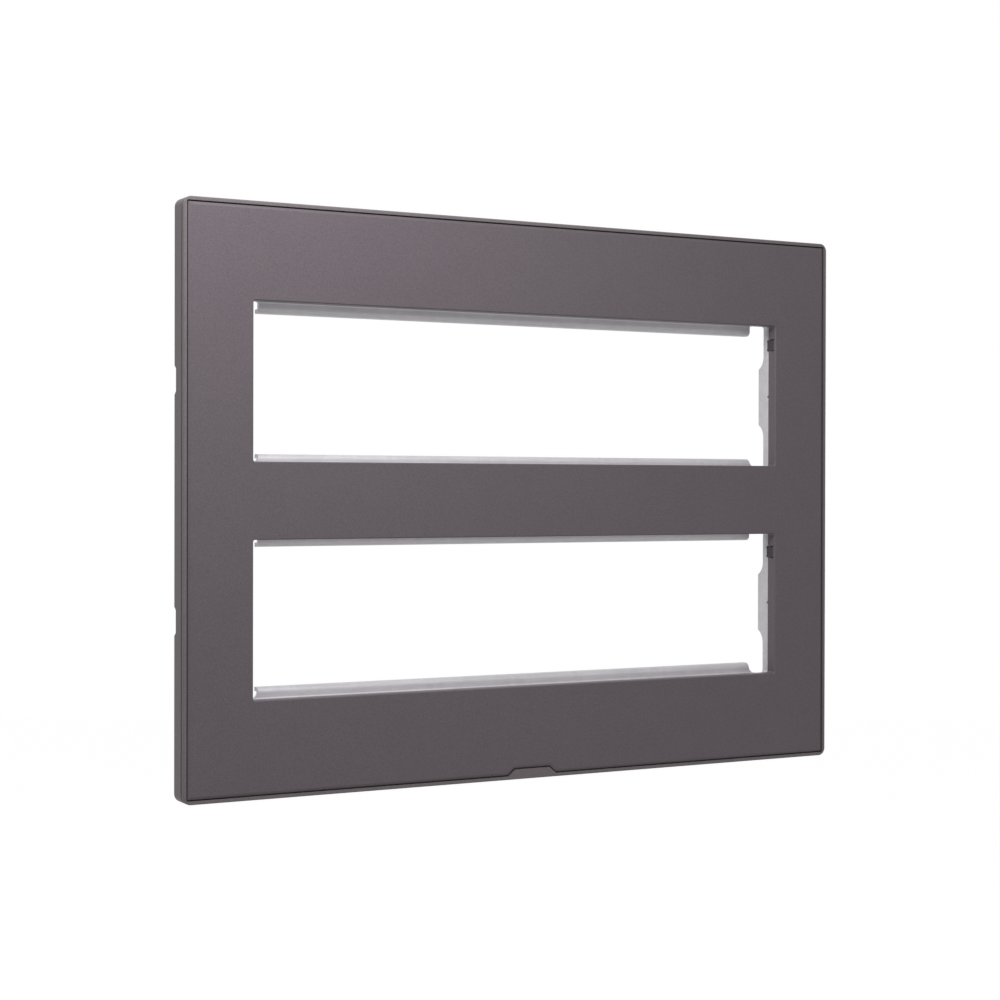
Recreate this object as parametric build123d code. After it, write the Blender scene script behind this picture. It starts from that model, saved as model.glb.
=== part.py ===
from build123d import *
from math import cos, radians, sin
import os

# Two-row wall plate for clip-in wiring modules, with its pressed metal support frame.
# Millimetres. X runs along the rows, Z is up, and the front faces -Y.
# The origin is the centre of the wall plane. Depths are measured back from the front plane.

# Module rows
MODULE_WIDTH = 22.5
MODULES_IN_ROW = 8
MODULE_HEIGHT = 45.0
ROWS = 2
WINDOW_EASE_X = 0.4
WINDOW_EASE_Z = 0.2
WINDOW_CORNER = 0.6

# Borders of the plate round the windows
SIDE_BORDER = 20.7
END_BORDER = 27.9
BAR_HEIGHT = 22.0
PLATE_CORNER = 2.4
LEAST_CORNER = 0.3

# Layers, from the front to the wall
PANEL_THICKNESS = 1.6
CARRIER_THICKNESS = 1.2
RIB_HEIGHT = 1.0
FRAME_HEIGHT = 3.4

# Rim and side walls of the surround
RIM_WIDTH = 1.05
RIM_EDGE = 0.3
SIDE_WALL = 1.7
SHADOW_LINE_DEPTH = 1.0
SHADOW_LINE_WIDTH = 0.8
SHADOW_LINE_CUT = 0.4
TAB_BASE = 16.6
TAB_TOP = 11.8
TAB_RISE = 1.95
PRY_NOTCH_MOUTH = 8.2
PRY_NOTCH_FLOOR = 6.3
PRY_NOTCH_CUT = 1.2

# Ribs and snap hooks behind the surround
RIB_WIDTH = 1.0
RIB_PITCH = 32.0
RIB_COUNT = 6
WINDOW_RIB_OFFSET = 4.2
EDGE_RIB_INSET = 5.5
HOOK_WIDTH = 4.4
HOOK_STEM = 1.0
HOOK_BARB = 0.7
HOOK_TIP = 0.5
HOOK_FLEX = 0.6
HOOK_CLEARANCE = 0.25
HOOK_SIDE_EASE = 0.15
CATCH_PLAY = 0.05
HOOK_SETBACK = 0.65
HOOK_DROP = 5.95
EDGE_HOOK_SPACING = 112.0
EDGE_HOOK_INSET = 11.0

# Front panel
PANEL_GAP = 0.4
PANEL_BEVEL = 0.8
PANEL_BEVEL_DROP = 0.35
WINDOW_EDGE = 0.3
SKIRT_WALL = 1.2
SKIRT_CLEARANCE = 0.1
SKIRT_FIT = 0.15
SKIRT_NOTCH_DEPTH = 0.9
SKIRT_NOTCH_FRONT = 4.1
SKIRT_NOTCH_REAR = 3.6
BARB_LENGTH = 8.0
BARB_REACH = 0.5
BARB_PITCH = 60.0
BARB_COUNT = 3

# Support frame
SHEET = 1.2
BEND_RADIUS = 0.8
FRAME_GAP = 0.4
BORDER_RELIEF = 2.4
COLLAR_SET = 0.4
COLLAR_DROP = 3.2
RAIL_END_INSET = 4.55
UPPER_RAIL_FLARE = 0.4
LOWER_RAIL_FLARE = 2.2
ROOT_LAND = 0.2
LIP_SETBACK = 4.0
OUTER_LIP_REACH = 2.85
INNER_LIP_REACH = 2.25
LIP_RETURN = 1.4
LIP_BEND_RADIUS = 0.4
END_TAB_LENGTH = 18.2
END_TAB_DROP = 2.6
END_TAB_FLARE = 4.5
SEAT_FLOOR_LENGTH = 9.4
SEAT_FLOOR_WIDTH = 7.4
SEAT_CORNER = 2.0
SLOT_LENGTH = 7.2
SLOT_WIDTH = 4.4
RELIEF_RADIUS = 0.55
RELIEF_SPACING = 2.7
MARK_RADIUS = 0.4
BEND_HOLE_ANGLE = 32.0

# Derived sizes
WINDOW_WIDTH = MODULES_IN_ROW * MODULE_WIDTH + WINDOW_EASE_X
WINDOW_HEIGHT = MODULE_HEIGHT + WINDOW_EASE_Z
ROW_PITCH = WINDOW_HEIGHT + BAR_HEIGHT
ROW_CENTRES = [ROW_PITCH * (row - (ROWS - 1) / 2) for row in range(ROWS)]
PLATE_WIDTH = WINDOW_WIDTH + 2 * SIDE_BORDER
PLATE_HEIGHT = ROWS * WINDOW_HEIGHT + (ROWS - 1) * BAR_HEIGHT + 2 * END_BORDER
PANEL_WIDTH = PLATE_WIDTH - 2 * (RIM_WIDTH + PANEL_GAP)
PANEL_HEIGHT = PLATE_HEIGHT - 2 * (RIM_WIDTH + PANEL_GAP)
CARRIER_BACK = PANEL_THICKNESS + CARRIER_THICKNESS
WEB_DEPTH = CARRIER_BACK + RIB_HEIGHT
WEB_BACK = WEB_DEPTH + SHEET
PLATE_DEPTH = WEB_DEPTH + FRAME_HEIGHT
CARRIER_OPENING = SKIRT_WALL + SKIRT_FIT
SKIRT_END = WEB_DEPTH - SKIRT_CLEARANCE
BEND_OUTER = BEND_RADIUS + SHEET
BEND_MIDDLE = BEND_RADIUS + SHEET / 2
BEND_DEPTH = WEB_DEPTH + BEND_OUTER
FRAME_WIDTH = PLATE_WIDTH - 2 * (SIDE_WALL + FRAME_GAP)
FRAME_TALL = PLATE_HEIGHT - 2 * (SIDE_WALL + FRAME_GAP)
COLLAR_X = WINDOW_WIDTH / 2 + COLLAR_SET
COLLAR_Z = WINDOW_HEIGHT / 2 + COLLAR_SET
COLLAR_DEPTH = WEB_DEPTH + COLLAR_DROP
RAIL_LENGTH = WINDOW_WIDTH - 2 * RAIL_END_INSET
SEAT_X = (COLLAR_X + FRAME_WIDTH / 2) / 2
SIDE_HOOK_X = WINDOW_WIDTH / 2 + CARRIER_OPENING + HOOK_SETBACK
SIDE_HOOK_Z = WINDOW_HEIGHT / 2 - HOOK_DROP
EDGE_HOOK_Z = PLATE_HEIGHT / 2 - EDGE_HOOK_INSET
HOOK_SLOT_LENGTH = HOOK_WIDTH + 2 * HOOK_SIDE_EASE
CUT_MARGIN = 1.0


def at_depth(depth):
    """Plane parallel to the front face at a depth, with X to the right and Z up."""
    return Plane(origin=(0, depth - PLATE_DEPTH, 0), x_dir=(1, 0, 0), z_dir=(0, -1, 0))


def slab(outline, front, back):
    """Outline in X and Z made solid between two depths."""
    return extrude(at_depth(back) * outline, back - front)


def bar_along_x(section, length):
    """Section drawn in depth and Z, made solid along X about the middle."""
    plane = Plane(origin=(-length / 2, -PLATE_DEPTH, 0), x_dir=(0, 1, 0), z_dir=(1, 0, 0))
    return extrude(plane * section, length)


def bar_along_z(section, length):
    """Section drawn in X and depth, made solid along Z about the middle."""
    plane = Plane(origin=(0, -PLATE_DEPTH, -length / 2), x_dir=(1, 0, 0), z_dir=(0, 0, 1))
    return extrude(plane * section, length)


def polygon(points):
    """Face inside a closed line of points."""
    return make_face(Polyline(*points, close=True))


def outline_inset(inset):
    """Outline of the plate moved in from its edge, with rounded corners."""
    radius = max(PLATE_CORNER - inset, LEAST_CORNER)
    return RectangleRounded(PLATE_WIDTH - 2 * inset, PLATE_HEIGHT - 2 * inset, radius)


def window_outlines(grow):
    """Outlines of all the windows, moved out from their edges."""
    size = (WINDOW_WIDTH + 2 * grow, WINDOW_HEIGHT + 2 * grow)
    shape = RectangleRounded(*size, WINDOW_CORNER + grow)
    return Sketch() + [Pos(0, z) * shape for z in ROW_CENTRES]


def front_face(body):
    """Foremost face of a body."""
    return body.faces().sort_by(Axis.Y)[0]


def mouth_edges(body):
    """Edges round the openings of a body's foremost face."""
    return [edge for wire in front_face(body).inner_wires() for edge in wire.edges()]


def both_sides(shape):
    """Shape and its mirror image across the middle of the plate."""
    return [shape, mirror(shape, about=Plane.YZ)]


def top_and_bottom(shape):
    """Shape and its mirror image across the middle height."""
    return [shape, mirror(shape, about=Plane.XY)]


def tab_outline():
    """Trapezoid that rises from the rim at the middle of the bottom edge."""
    base = RIM_WIDTH - PLATE_HEIGHT / 2
    corners = [
        (-TAB_BASE / 2, base - RIM_WIDTH / 2),
        (-TAB_BASE / 2, base),
        (-TAB_TOP / 2, base + TAB_RISE),
        (TAB_TOP / 2, base + TAB_RISE),
        (TAB_BASE / 2, base),
        (TAB_BASE / 2, base - RIM_WIDTH / 2),
    ]
    return polygon(corners)


def hook_section():
    """Snap hook in outward distance and depth: a stem with a barb behind the metal web."""
    root_depth = CARRIER_BACK - CARRIER_THICKNESS / 2
    barb_depth = WEB_BACK + CATCH_PLAY
    tip_depth = PLATE_DEPTH - HOOK_CLEARANCE
    points = [
        (0, root_depth),
        (0, tip_depth),
        (HOOK_TIP, tip_depth),
        (HOOK_STEM + HOOK_BARB, barb_depth + HOOK_CLEARANCE),
        (HOOK_STEM + HOOK_BARB, barb_depth),
        (HOOK_STEM, barb_depth),
        (HOOK_STEM, root_depth),
    ]
    return polygon(points)


def side_hooks():
    """Hooks beside the upper part of each window, seen through the notches of the skirts."""
    hook = Pos(SIDE_HOOK_X, 0, SIDE_HOOK_Z) * bar_along_z(hook_section(), HOOK_WIDTH)
    return [Pos(0, 0, z) * side for z in ROW_CENTRES for side in both_sides(hook)]


def edge_hooks():
    """Hooks in the top and bottom borders."""
    section = mirror(hook_section(), about=Plane.YZ)
    hook = Rot(0, 90, 0) * bar_along_z(section, HOOK_WIDTH)
    upper = Pos(EDGE_HOOK_SPACING / 2, 0, EDGE_HOOK_Z) * hook
    return [end for side in both_sides(upper) for end in top_and_bottom(side)]


def ribs():
    """Ribs behind the carrier: a ring round each window, one near the edge and ties between."""
    window_rings = window_outlines(WINDOW_RIB_OFFSET + RIB_WIDTH) - window_outlines(WINDOW_RIB_OFFSET)
    edge_ring = outline_inset(EDGE_RIB_INSET) - outline_inset(EDGE_RIB_INSET + RIB_WIDTH)
    columns = [RIB_PITCH * (i - (RIB_COUNT - 1) / 2) for i in range(RIB_COUNT)]
    tie = Rectangle(RIB_WIDTH, PLATE_HEIGHT - 2 * EDGE_RIB_INSET)
    ties = Sketch() + [Pos(x) * tie for x in columns]
    ties -= window_outlines(WINDOW_RIB_OFFSET)
    return slab(window_rings + edge_ring + ties, CARRIER_BACK, WEB_DEPTH)


def pry_notch():
    """Cut with sloped ends in the rear edge of a side wall."""
    half_mouth = PRY_NOTCH_MOUTH / 2
    half_floor = PRY_NOTCH_FLOOR / 2
    points = [
        (PLATE_DEPTH, -half_mouth),
        (PLATE_DEPTH - PRY_NOTCH_CUT, -half_floor),
        (PLATE_DEPTH - PRY_NOTCH_CUT, half_floor),
        (PLATE_DEPTH, half_mouth),
    ]
    return bar_along_x(polygon(points), 2 * PLATE_WIDTH)


def bezel_frame():
    """Moulded surround: rim, tab, side walls and the ribbed carrier behind the panel."""
    body = slab(outline_inset(0), 0, PLATE_DEPTH)
    body = chamfer(front_face(body).edges(), RIM_EDGE)
    pocket = RectangleRounded(PANEL_WIDTH + 2 * PANEL_GAP, PANEL_HEIGHT + 2 * PANEL_GAP, PANEL_GAP)
    body -= slab(pocket - tab_outline(), 0, PANEL_THICKNESS)
    body -= slab(outline_inset(SIDE_WALL), CARRIER_BACK, PLATE_DEPTH)
    body -= slab(window_outlines(CARRIER_OPENING), 0, PLATE_DEPTH)
    groove = outline_inset(-CUT_MARGIN) - outline_inset(SHADOW_LINE_CUT)
    body -= slab(groove, SHADOW_LINE_DEPTH, SHADOW_LINE_DEPTH + SHADOW_LINE_WIDTH)
    body += ribs()
    body += side_hooks() + edge_hooks()
    body -= [Pos(0, 0, z) * pry_notch() for z in ROW_CENTRES]
    return body


def skirt_barb():
    """Small wedge on the outside of a skirt that catches behind the carrier."""
    start = WINDOW_HEIGHT / 2 + SKIRT_WALL
    catch_depth = CARRIER_BACK + CATCH_PLAY
    points = [
        (catch_depth, start - SKIRT_WALL / 2),
        (catch_depth, start + BARB_REACH),
        (SKIRT_END, start),
        (SKIRT_END, start - SKIRT_WALL / 2),
    ]
    return bar_along_x(polygon(points), BARB_LENGTH)


def skirt_notch():
    """Cut through both short ends of a skirt, narrower at the rear, in front of the hooks."""
    points = [
        (SKIRT_NOTCH_DEPTH, -SKIRT_NOTCH_FRONT / 2),
        (SKIRT_NOTCH_DEPTH, SKIRT_NOTCH_FRONT / 2),
        (SKIRT_END, SKIRT_NOTCH_REAR / 2),
        (SKIRT_END, -SKIRT_NOTCH_REAR / 2),
    ]
    return bar_along_x(polygon(points), WINDOW_WIDTH + 2 * SKIRT_WALL)


def front_panel():
    """Inlaid panel with a bevelled edge and a skirt round each window."""
    cut_out = offset(tab_outline(), PANEL_GAP, kind=Kind.INTERSECTION)
    body = slab(Rectangle(PANEL_WIDTH, PANEL_HEIGHT) - cut_out, 0, PANEL_THICKNESS)
    face = front_face(body)
    body = chamfer(face.edges(), PANEL_BEVEL, PANEL_BEVEL_DROP, reference=face)
    body += slab(window_outlines(SKIRT_WALL), PANEL_THICKNESS / 2, SKIRT_END)
    body -= slab(window_outlines(0), 0, SKIRT_END)
    body = chamfer(mouth_edges(body), WINDOW_EDGE)
    body -= [Pos(0, 0, z + SIDE_HOOK_Z) * skirt_notch() for z in ROW_CENTRES]
    columns = [BARB_PITCH * (i - (BARB_COUNT - 1) / 2) for i in range(BARB_COUNT)]
    for z in ROW_CENTRES:
        for x in columns:
            body += [Pos(x, 0, z) * barb for barb in top_and_bottom(skirt_barb())]
    return body


def bent_strip(points, bend_radius):
    """Section of the sheet along a line through its middle, with equal bends."""
    return trace(FilletPolyline(*points, radius=bend_radius + SHEET / 2), SHEET)


def borders():
    """Edges of the web turned back to the wall along its four sides, open at the corners."""
    relief = BEND_OUTER + BORDER_RELIEF
    web = WEB_DEPTH + SHEET / 2

    def line(half):
        wall = half - SHEET / 2
        return [(web, wall - BEND_MIDDLE - SHEET), (web, wall), (PLATE_DEPTH, wall)]

    upper = bar_along_x(bent_strip(line(FRAME_TALL / 2), BEND_RADIUS), FRAME_WIDTH - 2 * relief)
    side_line = [(x, depth) for depth, x in line(FRAME_WIDTH / 2)]
    side = bar_along_z(bent_strip(side_line, BEND_RADIUS), FRAME_TALL - 2 * relief)
    return top_and_bottom(upper) + both_sides(side)


def pressed_web():
    """Flat web with a drawn collar round each window."""
    web = Rectangle(FRAME_WIDTH - 2 * BEND_OUTER, FRAME_TALL - 2 * BEND_OUTER)
    body = slab(web, WEB_DEPTH, WEB_BACK)
    body += slab(window_outlines(COLLAR_SET + SHEET), WEB_DEPTH, COLLAR_DEPTH)
    body -= slab(window_outlines(COLLAR_SET), WEB_DEPTH, COLLAR_DEPTH)
    return fillet(mouth_edges(body), BEND_OUTER)


def rail(reach, flare):
    """Clip rail above a window: the collar carried back and then in to a lip with a rounded edge."""
    lip = WEB_DEPTH + LIP_SETBACK + SHEET / 2
    wall = COLLAR_Z + SHEET / 2
    edge = WINDOW_HEIGHT / 2 - reach + SHEET / 2
    lip_end = lip + LIP_BEND_RADIUS + SHEET / 2 + LIP_RETURN
    line = [(BEND_DEPTH, wall), (lip, wall), (lip, edge), (lip_end, edge)]
    section = bent_strip(line, LIP_BEND_RADIUS)
    root_length = RAIL_LENGTH + 2 * (flare + ROOT_LAND)
    drop = COLLAR_SET + reach + SHEET
    front = Pos(0, wall) * Rectangle(root_length, SHEET)
    front += Pos(0, COLLAR_Z - drop / 2) * Rectangle(RAIL_LENGTH, drop)
    roots = front.vertices().group_by(Axis.Y)[1].sort_by(Axis.X)[1:-1]
    return bar_along_x(section, root_length) & slab(fillet(roots, flare), WEB_DEPTH, lip_end)


def end_tab():
    """Tab with flared ends that carries the collar further back at a window's short end."""
    tip_depth = COLLAR_DEPTH + END_TAB_DROP
    flare_length = (2 * END_TAB_FLARE * END_TAB_DROP - END_TAB_DROP**2) ** 0.5
    length = END_TAB_LENGTH + 2 * flare_length
    profile = Pos((BEND_DEPTH + tip_depth) / 2) * Rectangle(tip_depth - BEND_DEPTH, length)
    for side in (-1, 1):
        profile -= Pos(COLLAR_DEPTH + END_TAB_FLARE, side * length / 2) * Circle(END_TAB_FLARE)
    return Pos(COLLAR_X + SHEET / 2) * bar_along_x(profile, SHEET)


def screw_seat():
    """Dish pressed back to the wall plane, as the solid to add and the hollow to cut."""
    rise = FRAME_HEIGHT - SHEET
    skin = SHEET * (2**0.5 - 1)

    def dish(front, floor, grow):
        size = (SEAT_FLOOR_LENGTH + 2 * grow, SEAT_FLOOR_WIDTH + 2 * grow)
        body = slab(RectangleRounded(*size, SEAT_CORNER + grow), front, floor)
        return chamfer(body.faces().sort_by(Axis.Y)[-1].edges(), rise)

    solid = dish(WEB_BACK - SHEET / 2, PLATE_DEPTH, rise + skin)
    hollow = dish(WEB_DEPTH - CUT_MARGIN, PLATE_DEPTH - SHEET, rise)
    slot = slab(SlotOverall(SLOT_LENGTH, SLOT_WIDTH), PLATE_DEPTH - SHEET, PLATE_DEPTH)
    return solid, hollow + slot


def bend_hole(radius):
    """Round hole square through the bend of a collar's short end, at the middle of its row."""
    along = cos(radians(BEND_HOLE_ANGLE))
    back = sin(radians(BEND_HOLE_ANGLE))
    x = COLLAR_X + BEND_OUTER - BEND_MIDDLE * along
    y = BEND_DEPTH - BEND_MIDDLE * back - PLATE_DEPTH
    return Plane(origin=(x, y, 0), z_dir=(along, back, 0)) * Cylinder(radius, 2 * SHEET)


def hook_slots():
    """Cuts in the web for the snap hooks, with round reliefs and a centre mark in the bend."""
    slot_end = SIDE_HOOK_X + HOOK_STEM + HOOK_CLEARANCE
    points = [
        (COLLAR_X, WEB_DEPTH),
        (COLLAR_X + BEND_OUTER, BEND_DEPTH),
        (slot_end, BEND_DEPTH),
        (slot_end, WEB_DEPTH),
    ]
    cut = bar_along_z(polygon(points), HOOK_SLOT_LENGTH)
    relief_z = RELIEF_SPACING / 2
    ends = [Pos(0, 0, side * relief_z) * bend_hole(RELIEF_RADIUS) for side in (-1, 1)]
    one_side = Pos(0, 0, SIDE_HOOK_Z) * (cut + ends) + bend_hole(MARK_RADIUS)
    cuts = [Pos(0, 0, z) * side for z in ROW_CENTRES for side in both_sides(one_side)]
    width = HOOK_FLEX + HOOK_STEM + HOOK_CLEARANCE
    centre = EDGE_HOOK_Z + (HOOK_STEM + HOOK_CLEARANCE - HOOK_FLEX) / 2
    edge_outline = Pos(EDGE_HOOK_SPACING / 2, centre) * Rectangle(HOOK_SLOT_LENGTH, width)
    edge_slot = slab(edge_outline, WEB_DEPTH, WEB_BACK)
    cuts += [end for side in both_sides(edge_slot) for end in top_and_bottom(side)]
    return cuts


def support_frame():
    """Pressed sheet-metal frame behind the plate."""
    body = pressed_web() + borders()
    for row, z in enumerate(ROW_CENTRES):
        upper_reach = OUTER_LIP_REACH if row == ROWS - 1 else INNER_LIP_REACH
        lower_reach = OUTER_LIP_REACH if row == 0 else INNER_LIP_REACH
        upper = rail(upper_reach, UPPER_RAIL_FLARE)
        lower = mirror(rail(lower_reach, LOWER_RAIL_FLARE), about=Plane.XY)
        body += [Pos(0, 0, z) * edge for edge in [upper, lower] + both_sides(end_tab())]
    solid, hollow = screw_seat()
    places = [Pos(side * SEAT_X, 0, z) for side in (-1, 1) for z in ROW_CENTRES]
    body += [place * solid for place in places]
    body -= [place * hollow for place in places]
    body -= hook_slots()
    return body


os.makedirs("parts", exist_ok=True)
export_step(bezel_frame(), "parts/bezel_frame.step")
export_step(front_panel(), "parts/front_panel.step")
export_step(support_frame(), "parts/support_frame.step")
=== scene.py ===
import math

import bmesh
import bpy
from mathutils import Matrix, Vector


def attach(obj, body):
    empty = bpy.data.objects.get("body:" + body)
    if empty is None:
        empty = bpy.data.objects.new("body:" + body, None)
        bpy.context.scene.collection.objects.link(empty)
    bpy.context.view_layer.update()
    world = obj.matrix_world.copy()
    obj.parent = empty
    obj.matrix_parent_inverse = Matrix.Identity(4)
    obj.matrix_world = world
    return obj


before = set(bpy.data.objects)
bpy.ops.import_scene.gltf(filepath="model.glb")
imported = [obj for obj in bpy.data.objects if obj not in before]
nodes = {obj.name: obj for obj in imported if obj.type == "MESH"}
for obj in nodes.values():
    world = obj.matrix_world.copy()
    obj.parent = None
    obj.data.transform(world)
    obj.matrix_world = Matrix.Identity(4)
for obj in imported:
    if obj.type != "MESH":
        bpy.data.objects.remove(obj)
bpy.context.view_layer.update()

MM_PER_METRE = 1000
WHITE = (1, 1, 1)

# Camera, fitted to the straight edges of the plate in the photograph. Metres.
IMAGE_PIXELS = 1000
SENSOR_MM = 36.0
FOCAL_PIXELS = 1965.1
CAMERA_PLACE = (-0.29422, -0.52338, 0.00422)
CAMERA_YAW = math.radians(28.712)
CAMERA_PITCH = math.radians(-0.401)
CAMERA_ROLL = math.radians(0.127)
CAMERA_NEAR = 0.01

# Light and surroundings. Metres and watts.
AMBIENT_STRENGTH = 0.45
WHITE_STRENGTH = 1.0
KEY_PLACE = (-0.12, -0.15, 0.20)
KEY_TARGET = (0, 0, 0)
KEY_SIZE = 0.15
KEY_POWER = 0.6
FLOOR_Z = -0.35
FLOOR_RADIUS = 2.5
FLOOR_SIDES = 96
FLOOR_COLOUR = (0.92, 0.92, 0.92)
FLOOR_LIFT = 0.58

# Range that most of a noise value lies in.
NOISE_LOW = 0.3
NOISE_HIGH = 0.7

# Satin paint, and a dark plastic for the hook lugs whose darkness is painted shade of the
# notches. Texture scales are in cells per metre.
FLAKE_SCALE = 2600
FLAKE_DETAIL = 3.0
FLAKE_ROUGHNESS = 0.6
FLAKE_LOW = 0.32
FLAKE_HIGH = 0.68
MOTTLE_SCALE = 90
MOTTLE_SHARE = 0.1
PAINT_METALLIC = 0.1
PAINT_BUMP = 0.25

# Zinc-plated sheet. The streaks are long in X, along which the sheet was rolled.
CRYSTAL_SCALE = 420
CRYSTAL_DARK = (0.51, 0.497, 0.52)
CRYSTAL_LIGHT = (0.595, 0.58, 0.605)
STREAK_SCALES = (60, 900, 900)
STREAK_DETAIL = 3.0
STREAK_DARK = (0.49, 0.477, 0.5)
STREAK_LIGHT = (0.625, 0.61, 0.635)
STREAK_SHARE = 0.5
GRAIN_SCALE = 3000
ZINC_ROUGH = (0.46, 0.58)
ZINC_METALLIC = 0.35
ZINC_BUMP = 0.2

# Height of the relief of paint and zinc, in metres.
BUMP_HEIGHT = 0.00002

# Lugs of the side hooks, which fill the notches beside the windows, in millimetres.
# The section runs outward from a window's short edge and back from the front plane.
WINDOW_HALF_WIDTH = 90.2
ROW_CENTRE = 33.6
HOOK_RISE = 16.65
PLATE_DEPTH = 7.2
LUG_WIDTH = 3.4
LUG_SECTION = [
    (0.45, 1.1), (1.0, 1.1), (1.0, 1.75), (1.25, 1.75), (1.25, 2.9), (2.2, 2.9),
    (2.2, 3.65), (1.5, 3.88), (1.04, 4.18), (0.66, 4.58), (0.45, 4.97),
]


def empty_material(name):
    """New material whose node tree holds only its output."""
    material = bpy.data.materials.new(name)
    material.use_nodes = True
    tree = material.node_tree
    tree.nodes.clear()
    output = tree.nodes.new("ShaderNodeOutputMaterial")
    return material, tree, output


def principled_material(name):
    """New material with a Principled shader."""
    material, tree, output = empty_material(name)
    shader = tree.nodes.new("ShaderNodeBsdfPrincipled")
    tree.links.new(shader.outputs["BSDF"], output.inputs["Surface"])
    return material, tree, shader


def object_coordinates(tree, scale=(1, 1, 1)):
    """Place on the object in metres, stretched by a scale."""
    place = tree.nodes.new("ShaderNodeTexCoord")
    mapping = tree.nodes.new("ShaderNodeMapping")
    mapping.inputs["Scale"].default_value = scale
    tree.links.new(place.outputs["Object"], mapping.inputs["Vector"])
    return mapping.outputs["Vector"]


def noise(tree, vector, scale, detail=2.0, roughness=0.5):
    """Smooth random value from 0 to 1."""
    node = tree.nodes.new("ShaderNodeTexNoise")
    node.inputs["Scale"].default_value = scale
    node.inputs["Detail"].default_value = detail
    node.inputs["Roughness"].default_value = roughness
    tree.links.new(vector, node.inputs["Vector"])
    return node.outputs["Fac"]


def ramp(tree, value, dark, light, low=NOISE_LOW, high=NOISE_HIGH):
    """Colour that goes from dark to light as a value goes from low to high."""
    node = tree.nodes.new("ShaderNodeValToRGB")
    stops = [(low, dark), (high, light)]
    for element, (position, colour) in zip(node.color_ramp.elements, stops):
        element.position = position
        element.color = (*colour, 1)
    tree.links.new(value, node.inputs["Fac"])
    return node.outputs["Color"]


def spread(tree, value, limits):
    """Noise value spread between two limits."""
    node = tree.nodes.new("ShaderNodeMapRange")
    node.inputs["From Min"].default_value = NOISE_LOW
    node.inputs["From Max"].default_value = NOISE_HIGH
    node.inputs["To Min"].default_value = limits[0]
    node.inputs["To Max"].default_value = limits[1]
    tree.links.new(value, node.inputs["Value"])
    return node.outputs["Result"]


def blend_colours(tree, first, second, share):
    """Two colours mixed, with a constant share of the second."""
    node = tree.nodes.new("ShaderNodeMix")
    node.data_type = "RGBA"
    node.inputs["Factor"].default_value = share
    tree.links.new(first, node.inputs["A"])
    tree.links.new(second, node.inputs["B"])
    return node.outputs["Result"]


def bump(tree, shader, height, strength):
    """Fine relief on a shader's normal."""
    node = tree.nodes.new("ShaderNodeBump")
    node.inputs["Distance"].default_value = BUMP_HEIGHT
    node.inputs["Strength"].default_value = strength
    tree.links.new(height, node.inputs["Height"])
    tree.links.new(node.outputs["Normal"], shader.inputs["Normal"])


def satin_finish(name, dark, light, rough, gloss):
    """Satin metallic paint or grained plastic: fine flakes over a soft mottle."""
    material, tree, shader = principled_material(name)
    place = object_coordinates(tree)
    flakes = noise(tree, place, FLAKE_SCALE, FLAKE_DETAIL, FLAKE_ROUGHNESS)
    mottle = noise(tree, place, MOTTLE_SCALE)
    flake_colour = ramp(tree, flakes, dark, light, FLAKE_LOW, FLAKE_HIGH)
    mottle_colour = ramp(tree, mottle, dark, light)
    colour = blend_colours(tree, flake_colour, mottle_colour, MOTTLE_SHARE)
    tree.links.new(colour, shader.inputs["Base Color"])
    tree.links.new(spread(tree, flakes, rough), shader.inputs["Roughness"])
    shader.inputs["Metallic"].default_value = PAINT_METALLIC
    shader.inputs["Specular IOR Level"].default_value = gloss
    bump(tree, shader, flakes, PAINT_BUMP)
    return material


def zinc_finish(name):
    """Zinc-plated rolled sheet: faint crystals, rolling streaks and fine grain."""
    material, tree, shader = principled_material(name)
    place = object_coordinates(tree)
    crystals = tree.nodes.new("ShaderNodeTexVoronoi")
    crystals.inputs["Scale"].default_value = CRYSTAL_SCALE
    tree.links.new(place, crystals.inputs["Vector"])
    crystal_tint = crystals.outputs["Color"]
    streaks = noise(tree, object_coordinates(tree, STREAK_SCALES), 1.0, STREAK_DETAIL)
    grain = noise(tree, place, GRAIN_SCALE)
    crystal_colour = ramp(tree, crystal_tint, CRYSTAL_DARK, CRYSTAL_LIGHT, low=0, high=1)
    streak_colour = ramp(tree, streaks, STREAK_DARK, STREAK_LIGHT)
    colour = blend_colours(tree, crystal_colour, streak_colour, STREAK_SHARE)
    tree.links.new(colour, shader.inputs["Base Color"])
    tree.links.new(spread(tree, streaks, ZINC_ROUGH), shader.inputs["Roughness"])
    shader.inputs["Metallic"].default_value = ZINC_METALLIC
    bump(tree, shader, grain, ZINC_BUMP)
    return material


def dress(node, material):
    """Gives a node its material."""
    slots = nodes[node].data.materials
    slots.clear()
    slots.append(material)


def add_lug(shape, side, row):
    """One lug added to a mesh: its section made solid along Z, in the notch of a side and row."""
    middle = row * ROW_CENTRE + HOOK_RISE
    ends = []
    for z in (middle - LUG_WIDTH / 2, middle + LUG_WIDTH / 2):
        points = [
            Vector((side * (WINDOW_HALF_WIDTH + out), depth - PLATE_DEPTH, z)) / MM_PER_METRE
            for out, depth in LUG_SECTION
        ]
        ends.append([shape.verts.new(point) for point in points])
    low, high = ends
    shape.faces.new(low)
    shape.faces.new(high)
    for i in range(len(low)):
        shape.faces.new((low[i - 1], low[i], high[i], high[i - 1]))


def make_hook_lugs(material):
    """Four small plastic blocks on the side hooks, one in each notch of the skirts."""
    shape = bmesh.new()
    for side in (-1, 1):
        for row in (-1, 1):
            add_lug(shape, side, row)
    bmesh.ops.recalc_face_normals(shape, faces=shape.faces)
    mesh = bpy.data.meshes.new("hook_lugs")
    shape.to_mesh(mesh)
    shape.free()
    lugs = bpy.data.objects.new("hook_lugs", mesh)
    bpy.context.scene.collection.objects.link(lugs)
    mesh.materials.append(material)
    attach(lugs, "root")


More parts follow.
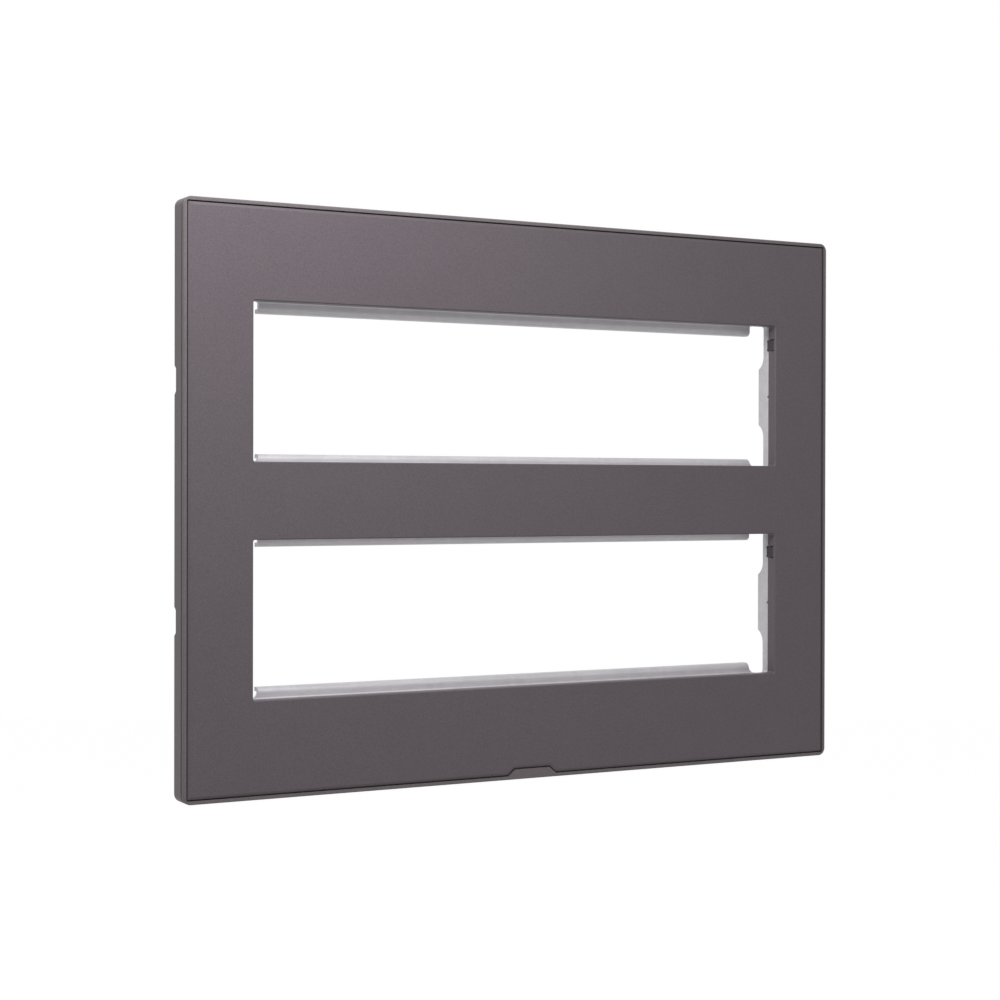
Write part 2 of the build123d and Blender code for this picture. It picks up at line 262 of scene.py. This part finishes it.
def seen_directly(tree):
    """1 for rays from the camera and for mirrored or refracted rays, 0 for the rest."""
    path = tree.nodes.new("ShaderNodeLightPath")
    seen = path.outputs["Is Camera Ray"]
    for kind in ("Is Glossy Ray", "Is Transmission Ray"):
        either = tree.nodes.new("ShaderNodeMath")
        either.operation = "MAXIMUM"
        tree.links.new(seen, either.inputs[0])
        tree.links.new(path.outputs[kind], either.inputs[1])
        seen = either.outputs["Value"]
    return seen


def make_world():
    """White where it is seen, softer where it only lights the object."""
    world = bpy.data.worlds.new("studio")
    world.use_nodes = True
    tree = world.node_tree
    tree.nodes.clear()
    output = tree.nodes.new("ShaderNodeOutputWorld")
    mix = tree.nodes.new("ShaderNodeMixShader")
    tree.links.new(seen_directly(tree), mix.inputs[0])
    for place, strength in ((1, AMBIENT_STRENGTH), (2, WHITE_STRENGTH)):
        light = tree.nodes.new("ShaderNodeBackground")
        light.inputs["Color"].default_value = (*WHITE, 1)
        light.inputs["Strength"].default_value = strength
        tree.links.new(light.outputs["Background"], mix.inputs[place])
    tree.links.new(mix.outputs["Shader"], output.inputs["Surface"])
    bpy.context.scene.world = world


def make_floor():
    """Pale floor well below the plate, lifted to white for rays that see it."""
    bpy.ops.mesh.primitive_circle_add(
        vertices=FLOOR_SIDES, radius=FLOOR_RADIUS, fill_type="NGON", location=(0, 0, FLOOR_Z)
    )
    floor = bpy.context.object
    floor.name = "floor"
    material, tree, output = empty_material("floor_white")
    matt = tree.nodes.new("ShaderNodeBsdfDiffuse")
    matt.inputs["Color"].default_value = (*FLOOR_COLOUR, 1)
    strength = tree.nodes.new("ShaderNodeMath")
    strength.operation = "MULTIPLY"
    strength.inputs[1].default_value = FLOOR_LIFT
    lift = tree.nodes.new("ShaderNodeEmission")
    add = tree.nodes.new("ShaderNodeAddShader")
    tree.links.new(seen_directly(tree), strength.inputs[0])
    tree.links.new(strength.outputs["Value"], lift.inputs["Strength"])
    tree.links.new(matt.outputs["BSDF"], add.inputs[0])
    tree.links.new(lift.outputs["Emission"], add.inputs[1])
    tree.links.new(add.outputs["Shader"], output.inputs["Surface"])
    floor.data.materials.append(material)


def make_key_light():
    """Soft lamp in front of the plate, above and to the left, out of sight of the camera."""
    data = bpy.data.lights.new("key", "AREA")
    data.shape = "DISK"
    data.size = KEY_SIZE
    data.energy = KEY_POWER
    lamp = bpy.data.objects.new("key", data)
    lamp.visible_camera = False
    bpy.context.scene.collection.objects.link(lamp)
    direction = Vector(KEY_TARGET) - Vector(KEY_PLACE)
    turn = direction.to_track_quat("-Z", "Y").to_matrix().to_4x4()
    lamp.matrix_world = Matrix.Translation(KEY_PLACE) @ turn


def make_camera():
    """Camera at the photograph's view."""
    forward = Vector((
        math.sin(CAMERA_YAW) * math.cos(CAMERA_PITCH),
        math.cos(CAMERA_YAW) * math.cos(CAMERA_PITCH),
        math.sin(CAMERA_PITCH),
    ))
    level_right = Vector((math.cos(CAMERA_YAW), -math.sin(CAMERA_YAW), 0))
    level_up = level_right.cross(forward)
    right = math.cos(CAMERA_ROLL) * level_right + math.sin(CAMERA_ROLL) * level_up
    up = math.cos(CAMERA_ROLL) * level_up - math.sin(CAMERA_ROLL) * level_right
    data = bpy.data.cameras.new("camera")
    data.sensor_width = SENSOR_MM
    data.lens = FOCAL_PIXELS / IMAGE_PIXELS * SENSOR_MM
    data.clip_start = CAMERA_NEAR
    camera = bpy.data.objects.new("camera", data)
    bpy.context.scene.collection.objects.link(camera)
    axes = Matrix((right, up, -forward)).transposed().to_4x4()
    camera.matrix_world = Matrix.Translation(CAMERA_PLACE) @ axes
    bpy.context.scene.camera = camera


bezel_paint = satin_finish(
    "bezel_paint",
    dark=(0.136, 0.118, 0.124), light=(0.188, 0.166, 0.172), rough=(0.42, 0.52), gloss=0.12,
)
panel_paint = satin_finish(
    "panel_paint",
    dark=(0.102, 0.086, 0.097), light=(0.138, 0.117, 0.132), rough=(0.42, 0.54), gloss=0.25,
)
# The lugs' plastic is made darker than the surround's paint, as painted shade for the shadowed
# notches beside the windows.
lug_plastic_painted_shade = satin_finish(
    "lug_plastic_painted_shade",
    dark=(0.048, 0.04, 0.044), light=(0.062, 0.052, 0.057), rough=(0.5, 0.6), gloss=0.25,
)
dress("bezel_frame", bezel_paint)
dress("front_panel", panel_paint)
dress("support_frame", zinc_finish("zinc_sheet"))
make_hook_lugs(lug_plastic_painted_shade)
bpy.context.scene.view_settings.view_transform = "Standard"
make_world()
make_floor()
make_key_light()
make_camera()
